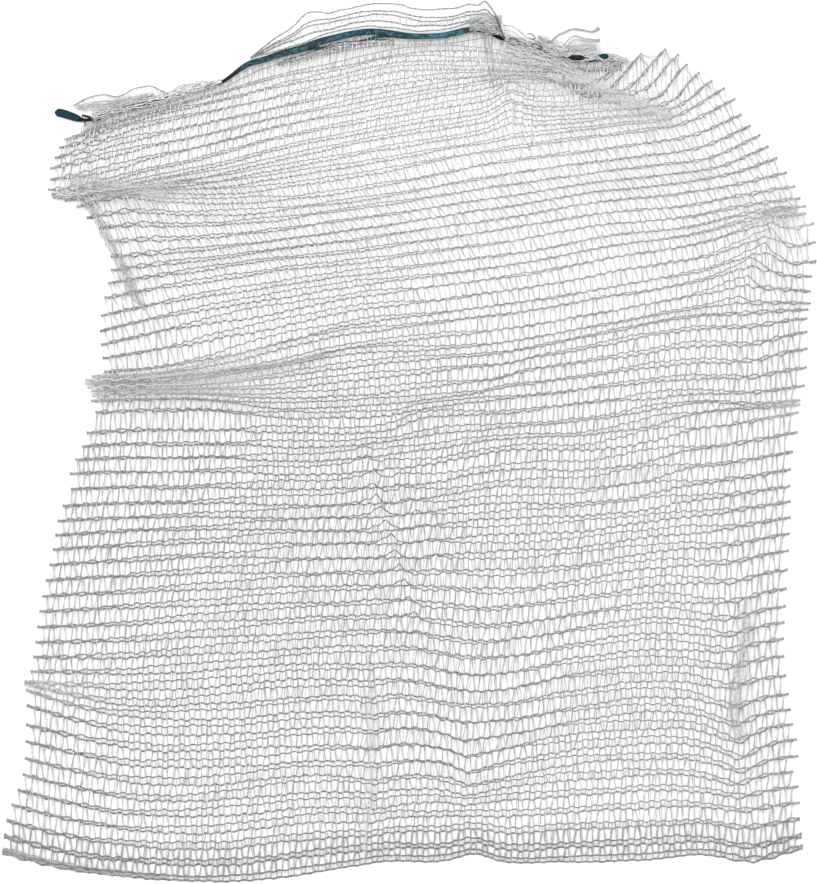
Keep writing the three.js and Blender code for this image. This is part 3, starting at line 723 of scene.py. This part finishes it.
def frill_point(layer, row, stitch):
    """Middle of a free row above the drawstring at a stitch, in mm."""
    row, stitch = alike(row, stitch)
    start, end = FRILL_TOP[0][0], FRILL_TOP[-1][0]
    part = np.clip(stitch / FRILL_STITCHES, 0, 1)
    x = start + (end - start) * part
    foot = through([knot[1:] for knot in CORD_LINE], x)[..., 0] + FRILL_FOOT
    top = np.maximum(through(FRILL_TOP, x)[..., 0], foot + FRILL_LEAST_HEIGHT)
    lowest, step = FRILL_SHARES[layer]
    table_row = BODY_ROWS + np.rint(row).astype(int)
    relax = np.clip((top - foot) / ROW_PITCH, FRILL_LEAST_RELAX, 1)
    share = lowest + step * row
    wander = row_wander(layer, table_row, FRILL_WANDER * part) + stitch_jitter(layer, table_row, stitch)
    y = foot + (top - foot) * share + relax * wander
    z = FRILL_HEIGHTS[layer] + (FRILL_EDGE_HEIGHT - FRILL_HEIGHTS[layer]) * share
    return np.stack([x, y, np.broadcast_to(z, y.shape)], -1)


def frame_place(points):
    """Plan millimetres to metres in the frame."""
    moved = np.asarray(points, float).copy()
    moved[..., 0] += PLAN_SHIFT[0]
    moved[..., 1] += PLAN_SHIFT[1]
    return moved * MM


def tube_arrays(paths, half_width, half_height, sides):
    """Vertices of tubes round paths of the shape (curves, points, 3); the flat side stays level."""
    tangent = np.gradient(paths, axis=1)
    tangent /= np.maximum(np.linalg.norm(tangent, axis=-1, keepdims=True), LEAST_LENGTH)
    side = np.cross(tangent, [0.0, 0.0, 1.0]) + np.array(SIDE_NUDGE)
    side /= np.linalg.norm(side, axis=-1, keepdims=True)
    up = np.cross(side, tangent)
    angle = 2 * math.pi * np.arange(sides) / sides
    half_width = np.broadcast_to(half_width, paths.shape[:2])[..., None, None]
    half_height = np.broadcast_to(half_height, paths.shape[:2])[..., None, None]
    wide = side[..., None, :] * half_width * np.cos(angle)[:, None]
    rise = up[..., None, :] * half_height * np.sin(angle)[:, None]
    return paths[..., None, :] + wide + rise


def tube_faces(curves, points, sides):
    """Vertex indices of closed tubes: quads along them and caps at their ends."""
    index = np.arange(curves * points * sides).reshape(curves, points, sides)
    beside = np.roll(index, -1, axis=2)
    quads = np.stack([index[:, :-1], index[:, 1:], beside[:, 1:], beside[:, :-1]], -1).reshape(-1, 4)
    return [quads, np.concatenate([index[:, 0], index[:, -1, ::-1]])]


def tube_uvs(u, v):
    """UVs of the same corners, from u and v of the shape (curves, points, sides + 1)."""
    grid = np.stack([u, v], -1)
    corners = [grid[:, :-1, :-1], grid[:, 1:, :-1], grid[:, 1:, 1:], grid[:, :-1, 1:]]
    return [np.stack(corners, -2), np.concatenate([grid[:, 0, :-1], grid[:, -1, :-1][:, ::-1]])]


def mesh_object(name, vertices, polygons, uvs, material, attributes):
    """Mesh object from vertices, (count, corners) index arrays, matching corner UVs and vertex attributes."""
    mesh = bpy.data.meshes.new(name)
    loops = np.concatenate([group.ravel() for group in polygons])
    totals = np.concatenate([np.full(len(group), group.shape[1]) for group in polygons])
    mesh.vertices.add(len(vertices))
    mesh.vertices.foreach_set("co", vertices.astype(np.float32).ravel())
    mesh.loops.add(len(loops))
    mesh.loops.foreach_set("vertex_index", loops.astype(np.int32))
    mesh.polygons.add(len(totals))
    mesh.polygons.foreach_set("loop_start", (np.cumsum(totals) - totals).astype(np.int32))
    mesh.update(calc_edges=True)
    mesh.polygons.foreach_set("use_smooth", np.ones(len(totals), bool))
    layer = mesh.uv_layers.new(name="OFBake")
    layer.data.foreach_set("uv", np.concatenate([uv.reshape(-1, 2) for uv in uvs]).astype(np.float32).ravel())
    for key, values in attributes.items():
        mesh.attributes.new(key, "FLOAT", "POINT").data.foreach_set("value", values.astype(np.float32).ravel())
    mesh.materials.append(material)
    mesh.validate()
    piece = bpy.data.objects.new(name, mesh)
    bpy.context.scene.collection.objects.link(piece)
    return piece


def tubes(name, paths, half_width, half_height, sides, material, tone):
    """One joined mesh of closed tubes along paths in plan millimetres, each in its own cell of the UV map."""
    curves, points = paths.shape[:2]
    vertices = frame_place(tube_arrays(paths, half_width, half_height, sides)).reshape(-1, 3)
    columns = max(1, math.ceil(math.sqrt(curves / UV_CELL_ASPECT)))
    rows = math.ceil(curves / columns)
    curve = np.arange(curves)[:, None, None]
    along = np.arange(points)[:, None] / (points - 1) * UV_ALONG
    around = np.arange(sides + 1) / sides * UV_AROUND
    shape = (curves, points, sides + 1)
    u = np.broadcast_to((curve % columns + along) / columns, shape)
    v = np.broadcast_to((curve // columns + around) / rows, shape)
    tones = np.broadcast_to(np.broadcast_to(tone, (curves, points))[..., None], (curves, points, sides))
    faces = tube_faces(curves, points, sides)
    return mesh_object(name, vertices, faces, tube_uvs(u, v), material, {"tone": tones})


def new_material(name):
    material = bpy.data.materials.new(name)
    material.use_nodes = True
    return material, material.node_tree


def fill_inputs(tree, node, inputs):
    """Gives each input a plain value, or a link from another node's output."""
    for key, value in inputs.items():
        if isinstance(value, bpy.types.NodeSocket):
            tree.links.new(value, node.inputs[key])
        else:
            node.inputs[key].default_value = value


def add_node(tree, kind, output, inputs=None, **settings):
    """Output of a new shader node with the given inputs and settings."""
    node = tree.nodes.new(f"ShaderNode{kind}")
    for key, value in settings.items():
        setattr(node, key, value)
    fill_inputs(tree, node, inputs or {})
    return node.outputs[output]


def noise(tree, scale, detail):
    """Noise in the frame's own space, so that it stays on the thread."""
    where = add_node(tree, "TexCoord", "Object")
    return add_node(tree, "TexNoise", "Fac", {"Scale": scale, "Detail": detail, "Vector": where})


def attribute(tree, key):
    return add_node(tree, "Attribute", "Fac", attribute_name=key)


def calculate(tree, operation, *values):
    return add_node(tree, "Math", "Value", dict(enumerate(values)), operation=operation)


def colour_ramp(tree, value, stops=((0, (0, 0, 0)), (1, (1, 1, 1)))):
    """Colour by a value; plain grey unless stops are given."""
    ramp = tree.nodes.new("ShaderNodeValToRGB")
    elements = ramp.color_ramp.elements
    while len(elements) < len(stops):
        elements.new(0.5)
    for element, (at, colour) in zip(elements, stops):
        element.position = at
        element.color = (*colour, 1)
    fill_inputs(tree, ramp, {"Fac": value})
    return ramp.outputs["Color"]


def fibre_shader(tree, colour, look):
    """Colour, soft gloss and the bump of fine fibres."""
    height = noise(tree, look.fibre_scale, FIBRE_DETAIL)
    bump = {"Strength": look.bump, "Distance": FIBRE_HEIGHT, "Height": height}
    fill_inputs(tree, tree.nodes["Principled BSDF"], {
        "Base Color": colour,
        "Roughness": look.roughness,
        "Specular IOR Level": look.specular,
        "Normal": add_node(tree, "Bump", "Normal", bump),
    })


def yarn_material(name, patchiness):
    """Drawn plastic tape yarn: uneven grey by the thread's tone."""
    material, tree = new_material(name)
    patches = calculate(tree, "SUBTRACT", noise(tree, *YARN_PATCHES), 0.5)
    uneven = calculate(tree, "MULTIPLY", patches, patchiness)
    value = calculate(tree, "ADD", attribute(tree, "tone"), uneven)
    fibre_shader(tree, colour_ramp(tree, value), YARN_LOOK)
    return material


def cord_material():
    """Braided cord: teal yarns that wind round it beside grey-blue and brown ones, darkened by its shade
    attribute, which is partly painted shade.
    """
    material, tree = new_material("braided_cord")
    patches = calculate(tree, "MULTIPLY", noise(tree, *CORD_PATCHES), PATCH_TURN)
    mixed = calculate(tree, "MULTIPLY", patches, attribute(tree, "mix"))
    turn = calculate(tree, "ADD", attribute(tree, "braid"), mixed)
    yarns = colour_ramp(tree, calculate(tree, "FRACT", turn), CORD_YARNS)
    both = {"Factor": 1, "A": yarns, "B": colour_ramp(tree, attribute(tree, "shade"))}
    colour = add_node(tree, "Mix", "Result", both, data_type="RGBA", blend_type="MULTIPLY")
    fibre_shader(tree, colour, CORD_LOOK)
    return material


CHAIN_YARN = yarn_material("chain_yarn", CHAIN_PATCHINESS)
TIE_YARN = yarn_material("tie_yarn", TIE_PATCHINESS)
CORD_YARN = cord_material()


def chain_rows(name, layer, rows, scale=1.0, path=chain_point, stitches=STITCHES):
    """Chain rows: a lump at each stitch, a bead at each end."""
    stitch = np.arange(stitches * CHAIN_STEPS + 1) / CHAIN_STEPS
    rows = np.asarray(rows, float)[:, None]
    paths = path(layer, rows, stitch[None, :])
    from_end = np.minimum(stitch, stitches - stitch)
    lump = CHAIN_LUMP * np.cos(2 * math.pi * stitch) + TIP_LUMP * np.exp(-from_end * TIP_FADE)
    width = np.broadcast_to(CHAIN_HALF_WIDTH * scale * (1 + lump), paths.shape[:2])
    tone = CHAIN_TONE + RANDOM.normal(0, CHAIN_UNEVEN, paths.shape[:2])
    if path is chain_point:
        place = stitch / stitches
        slim = table_value(SLIM_PLACES, CHAIN_SLIM, place, rows) * np.where(rows < HEM_ROWS, HEM_CHAIN_SHARE, 1)
        near_seam = np.exp(-from_end / SEAM_LUMP_STITCHES)
        width = width * (1 + SEAM_LUMP * near_seam) * slim
        tone = tone + SLIM_TONE * np.maximum(1 - slim, 0) + SEAM_TONE * near_seam
        tone = np.minimum(tone + gather_paleness(place, rows), PALEST_CHAIN)
    else:
        tone = tone + SLIM_TONE * (1 - scale)
    paths[..., 2] = np.maximum(paths[..., 2], width * CHAIN_FLATNESS + GROUND_CLEARANCE)
    return tubes(name, paths, width, width * CHAIN_FLATNESS, CHAIN_SIDES, CHAIN_YARN, tone)


def tie_feet(layer, rows, lean, path, stitches):
    """Stitches on the next row that lie straight above, or leaning left of, each row's own stitches."""
    stitch = np.arange(stitches + 1.0)
    feet = []
    for row, distance in zip(rows, lean):
        below = path(layer, row, stitch)[:, 0]
        above = path(layer, row + 1, stitch)[:, 0]
        feet.append(np.interp(below - distance, above, stitch)[1:-1])
    return np.array(feet)


def tie_paths(layer, rows, path, stitches):
    """Zigzag thread between each row and the next, along a chain and then across; the rows' tips stay free."""
    stitch = np.arange(1, stitches)
    odd = stitch % 2
    lean = through(TIE_LEAN, rows)[:, 0] if path is chain_point else np.zeros(len(rows))
    feet = tie_feet(layer, rows, lean, path, stitches)
    rows = np.asarray(rows, float)[:, None]
    reach = TIE_REACH + RANDOM.uniform(-TIE_REACH_SPREAD, TIE_REACH_SPREAD, feet.shape)
    foot = np.where(odd, feet, stitch) + RANDOM.normal(0, TIE_FOOT_JITTER, feet.shape)
    start = path(layer, rows + odd, np.clip(foot - reach, 0, stitches))
    end = path(layer, rows + odd, np.clip(foot + reach, 0, stitches))
    following = np.concatenate([start[:, 1:], start[:, -1:]], 1)
    middle = (end + following) / 2
    middle[..., 0] += RANDOM.normal(0, TIE_MIDDLE_JITTER, middle.shape[:2])
    middle[..., 2] -= TIE_DROP
    zigzag = np.stack([start, end, middle], 2).reshape(len(rows), -1, 3)[:, :-1]
    zigzag[..., 2] = np.maximum(zigzag[..., 2], TIE_MIN_HEIGHT)
    return zigzag


def tie_rows(name, layer, rows, path=chain_point, stitches=STITCHES):
    paths = tie_paths(layer, rows, path, stitches)
    curves, points = paths.shape[:2]
    width = TIE_HALF_WIDTH + RANDOM.uniform(0, TIE_SPREAD, (curves, points))
    uneven = RANDOM.normal(0, TIE_UNEVEN, (curves, points))
    narrow = np.repeat(RANDOM.uniform(0, 1, (curves, stitches)) < NARROW_TIES, TIE_POINTS, axis=1)[:, :points]
    if path is frill_point:
        width = width * FRILL_TIE_SHARE
        tone = FRILL_TIE_TONE + uneven
    else:
        hem = (np.asarray(rows) < HEM_ROWS)[:, None]
        width = np.where(hem, HEM_TIE_HALF_WIDTH, np.where(narrow, NARROW_HALF_WIDTH, width))
        tone = np.where(hem, HEM_TIE_TONE, np.where(narrow, NARROW_TONE, through(TIE_TONES, rows))) + uneven
    return tubes(name, paths, width, width * TIE_FLATNESS, TIE_SIDES, TIE_YARN, tone)


def raised(points, height):
    """Plan points with one height, or with a height that runs evenly between two."""
    points = np.asarray(points, float)
    start, end = np.broadcast_to(height, 2)
    return np.column_stack([points, np.linspace(start, end, len(points))])


def web(top, foot, count):
    """Zigzag thread between two routes in space."""
    odd = (np.arange(count) % 2)[:, None]
    path = smooth_route(top, count) * (1 - odd) + smooth_route(foot, count) * odd
    path[:, :2] += RANDOM.normal(0, WEB_JITTER, (count, 2))
    path[:, 2] = np.maximum(path[:, 2], TIE_MIN_HEIGHT)
    return path[None]


def hem_seam():
    """Zigzag thread that joins the two layers' lowest rows."""
    stitch = np.linspace(0, STITCHES, HEM_SEAM_TIES)
    front, back = (chain_point(layer, 0, stitch) for layer in LAYERS)
    path = web(front, back, HEM_SEAM_TIES)
    tone = HEM_TIE_TONE + RANDOM.normal(0, WEB_UNEVEN, path.shape[:2])
    return tubes("net_hem_seam", path, HEM_TIE_HALF_WIDTH, HEM_SEAM_HALF_HEIGHT, TIE_SIDES, TIE_YARN, tone)


def window_strength(x, windows):
    """1 where the cord shows between bunched threads, 0 elsewhere."""
    strength = np.zeros(x.shape)
    for middle, half in windows:
        strength = np.maximum(strength, np.exp(-((x - middle) / half) ** WINDOW_POWER))
    return strength


def bunch_paths(bunch, windows):
    """Threads that run beside a route, cross, and part at the windows; and zigzag ties across them."""
    length = route_length(bunch.route)
    count = int(length / BUNCH_STEP) + 1
    route = smooth_route(bunch.route, count)
    tangent = np.gradient(route, axis=0)
    normal = np.column_stack([-tangent[:, 1], tangent[:, 0]]) / np.linalg.norm(tangent, axis=1)[:, None]
    reach = through(bunch.reach, np.linspace(0, 1, count))[:, 0]
    run = np.linspace(0, length, count)
    phase = RANDOM.uniform(0, 2 * math.pi, (len(BUNCH_WAVES) + 1, bunch.threads, 1))
    lane = np.linspace(-1, 1, bunch.threads)[:, None]
    offset = lane * reach
    for wave, size, turn in zip(BUNCH_WAVES, BUNCH_SIZES, phase):
        offset = offset + bunch.wander * size * np.sin(2 * math.pi * run / wave + turn)
    parted = window_strength(route[:, 0], windows)
    clear = np.sign(lane) * np.maximum(np.sign(lane) * offset, WINDOW_PUSH)
    offset = offset + (clear - offset) * parted
    rise = BUNCH_RISE * np.sin(2 * math.pi * run / BUNCH_RISE_WAVE + phase[-1])
    z = bunch.height + rise - BUNCH_CROWN * offset ** 2
    plan = route + normal * offset[..., None]
    side = normal * reach[:, None]
    tie_height = np.where(parted > WINDOW_EDGE, WINDOW_TIE_HEIGHT, bunch.height)
    top, foot = (np.column_stack([edge, tie_height]) for edge in (route + side, route - side))
    ties = web(top, foot, int(length / bunch.tie_step))
    return np.concatenate([plan, z[..., None]], -1), ties


def add_bunches():
    pieces = []
    for name, bunch in BUNCHES.items():
        paths, ties = bunch_paths(bunch, CORD_WINDOWS if name == "right" else ())
        size = (bunch.half_width, bunch.half_width * BUNCH_FLATNESS)
        uneven = bunch.uneven
        start, end = np.broadcast_to(bunch.tone, 2)
        tone = np.linspace(start, end, paths.shape[1]) + RANDOM.normal(0, uneven, paths.shape[:2])
        tone = tone + RANDOM.normal(0, uneven, (len(paths), 1))
        pieces.append(tubes(f"net_bunch_{name}", paths, *size, CHAIN_SIDES, TIE_YARN, tone))
        tone = np.linspace(start, end, ties.shape[1]) + BUNCH_TIE_PALER
        tone = tone + RANDOM.normal(0, uneven, ties.shape[:2])
        pieces.append(tubes(f"net_bunch_{name}_ties", ties, *BUNCH_TIE_SIZE, TIE_SIDES, TIE_YARN, tone))
    return pieces


def add_strands():
    """Single strands of the mouth, the neck at its left end and the fine webs."""
    necks = [[(x + i * NECK_STEP, y) for x, y in NECK_POINTS] for i in range(NECK_STRANDS)]
    strands = STRANDS + [Strand(points, *NECK_LOOK) for points in necks]
    paths = np.stack([smooth_route(raised(s.points, s.height), STRAND_SAMPLES) for s in strands])
    from_end = 1 - np.linspace(0, 1, STRAND_SAMPLES)
    bead = np.array([s.bead for s in strands])[:, None] * np.exp(-(from_end * BEAD_FADE) ** 2)
    width = np.array([s.half_width for s in strands])[:, None] * (1 + bead)
    tone = np.array([s.tone for s in strands])[:, None] + RANDOM.normal(0, STRAND_UNEVEN, width.shape)
    height = width * CHAIN_FLATNESS
    pieces = [tubes("net_mouth_strands", paths, width, height, STRAND_SIDES, CHAIN_YARN, tone)]
    webs = {}
    for name, edges in WEBS.items():
        top = raised(edges.top, edges.top_height)
        webs[name] = web(top, raised(edges.foot, edges.foot_height), edges.ties)
    for name, path in webs.items():
        tone = WEB_TONE + RANDOM.normal(0, WEB_UNEVEN, path.shape[:2])
        pieces.append(tubes(f"net_mouth_web_{name}", path, *WEB_SIZE, TIE_SIDES, TIE_YARN, tone))
    return pieces


def within(x, ranges):
    """True where x lies in one of the ranges."""
    return np.any([(x > low) & (x < high) for low, high in ranges], axis=0)


def cord_route():
    """Middle line of the drawstring: loose end, front strand, turn and rear strand, in mm."""
    route = [(x, y, LOOSE_HEIGHT if i < LOOSE_ON_GROUND else REAR_HEIGHT) for i, (x, y) in enumerate(LOOSE_END)]
    start, end, steps = FRONT_STRAND
    front = through(CORD_LINE, np.linspace(start, end, steps + 1))
    route += [(x, y, FRONT_HEIGHT) for x, y in front]
    turn_x, turn_y = front[-1] + CORD_TURN
    route.append((turn_x, turn_y, (FRONT_HEIGHT + REAR_HEIGHT) / 2))
    start, end, steps = REAR_STRAND
    place = np.linspace(start, end, steps + 1)
    rear = through(CORD_LINE, place)
    gap = through(REAR_GAP, place)[:, 0]
    route += [(x, y - down, REAR_HEIGHT) for (x, y), down in zip(rear, gap)]
    return np.asarray(route)


def cord_colours(x, run, angle, rear):
    """Vertex attributes of the cord: turn of its yarns, how mixed they are, and shade, partly painted shade
    under the net, on the rear strand and along the upper edge.
    """
    brown = within(x, BROWN_BITS)
    plain = brown | within(x, TEAL_BITS)
    mixed = np.where(plain, 0, smoothstep(*MIX_FADE, x))[:, None]
    wound = run[:, None] / BRAID_PITCH + BRAID_SKEW * np.cos(angle)
    shade = np.where(plain, PLAIN_SHADE, through(CORD_SHADE, x)[:, 0])
    shade = np.where(x < BRAID_COLOURS_FROM, LOOSE_SHADE, shade)
    # painted shade: near-black under bunched threads, and darker on the rear strand that lies under the front
    # one
    shade = np.where(within(x, SHADED_CORD_BITS), DARK_SHADE, shade) * np.where(rear, REAR_SHADE, 1)
    # painted shade along the cord's upper edge
    upper_edge = smoothstep(*UPPER_EDGE, -np.cos(angle))
    return {
        "braid": mixed * wound + np.where(brown, BROWN_TURN, TEAL_TURN)[:, None],
        "mix": np.broadcast_to(mixed, wound.shape),
        "shade": shade[:, None] * (1 - EDGE_SHADE * upper_edge),
    }


def drawstring():
    """Flat braided cord with rounded tips, that twists and so shows more or less of its width."""
    points = cord_route()
    path = smooth_route(points, int(route_length(points) / CORD_STEP) + 1)
    count = len(path)
    x = path[:, 0]
    run = np.arange(count) * CORD_STEP
    rear = (path[:, 2] < REAR_HEIGHT + REAR_MARGIN) & (x > BRAID_COLOURS_FROM)
    flat = through(CORD_FLAT, x)[:, 0]
    flat = np.where(rear, np.minimum(flat, REAR_FLAT), flat)
    tip = np.sqrt(np.clip(np.minimum(run, run[::-1]) / TIP_LENGTH, TIP_LEAST, 1))
    half_width, half_height = CORD_WIDTH / 2 * tip * flat, CORD_THICKNESS / 2 * tip
    ring = tube_arrays(path[None], half_width[None], half_height[None], CORD_SIDES)[0]
    angle = 2 * math.pi * np.arange(CORD_SIDES) / CORD_SIDES
    left, right = (np.cos(WEAVE_YARNS * angle + way * WEAVE_TURN * run[:, None]) for way in (1, -1))
    swell = 1 - WEAVE_DEPTH * (1 - left * right)
    ring = path[:, None] + (ring - path[:, None]) * swell[..., None]
    along = np.arange(count)[:, None] / count * CORD_BANDS
    around = np.arange(CORD_SIDES + 1) / CORD_SIDES * UV_AROUND
    u = np.broadcast_to(along % 1, (1, count, CORD_SIDES + 1))
    v = (np.floor(along) + around)[None] / CORD_BANDS
    faces = tube_faces(1, count, CORD_SIDES)
    vertices = frame_place(ring).reshape(-1, 3)
    colours = cord_colours(x, run, angle, rear)
    return mesh_object("drawstring_cord", vertices, faces, tube_uvs(u, v), CORD_YARN, colours)


def add_net():
    pieces = []
    for layer in LAYERS:
        for half, (low, high) in HALVES.items():
            pieces.append(chain_rows(f"net_{layer}_chains_{half}", layer, range(low, high)))
            gaps = range(low, min(high, LAST_ROW))
            pieces.append(tie_rows(f"net_{layer}_ties_{half}", layer, gaps))
        rows = range(FRILL_ROWS[layer])
        frill = (frill_point, FRILL_STITCHES)
        pieces += [
            tie_rows(f"net_{layer}_hem_ties", layer, range(HEM_ROWS)),
            tie_rows(f"net_{layer}_lip_ties", layer, (LAST_ROW,), lip_point),
            chain_rows(f"net_{layer}_frill", layer, rows, FRILL_CHAIN_SHARE, *frill),
            tie_rows(f"net_{layer}_frill_ties", layer, rows[:-1], *frill),
        ]
    return pieces + [hem_seam()] + add_bunches() + add_strands()


def add_camera():
    """Camera straight above, that shows the photograph's height."""
    half_height = PHOTO_HALF_HEIGHT * MM_PER_PIXEL * MM
    camera = bpy.data.cameras.new("camera")
    camera.sensor_fit = "VERTICAL"
    camera.sensor_height = SENSOR_HEIGHT
    camera.lens = SENSOR_HEIGHT / 2 * CAMERA_HEIGHT / half_height
    camera.clip_end = CLIP_END
    holder = bpy.data.objects.new("camera", camera)
    holder.location = (0, 0, CAMERA_HEIGHT)
    bpy.context.scene.collection.objects.link(holder)
    bpy.context.scene.camera = holder


def add_stage():
    """White surround, soft key light and floor."""
    scene = bpy.context.scene
    scene.view_settings.view_transform = "Standard"
    world = bpy.data.worlds.new("studio")
    scene.world = world
    world.use_nodes = True
    tree = world.node_tree
    fill_inputs(tree, tree.nodes["Background"], {"Color": (1, 1, 1, 1), "Strength": WORLD_STRENGTH})
    lamp = bpy.data.lights.new("key", "AREA")
    lamp.energy = KEY_ENERGY
    lamp.size = KEY_SIZE
    key = bpy.data.objects.new("key", lamp)
    key.location = KEY_PLACE
    key.rotation_euler = [math.radians(tilt) for tilt in KEY_TILT]
    scene.collection.objects.link(key)
    material, tree = new_material("floor")
    finish = {"Base Color": FLOOR_COLOUR, "Roughness": FLOOR_ROUGHNESS}
    fill_inputs(tree, tree.nodes["Principled BSDF"], finish)
    bpy.ops.mesh.primitive_plane_add(size=FLOOR_SIZE)
    floor = bpy.context.object
    floor.name = "floor"
    floor.data.materials.append(material)


add_camera()
add_stage()
NET_PIECES = add_net()
CORD = drawstring()
for piece in NET_PIECES:
    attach(piece, "root")
    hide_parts("net_sack")
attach(CORD, "root")
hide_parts("drawstring")
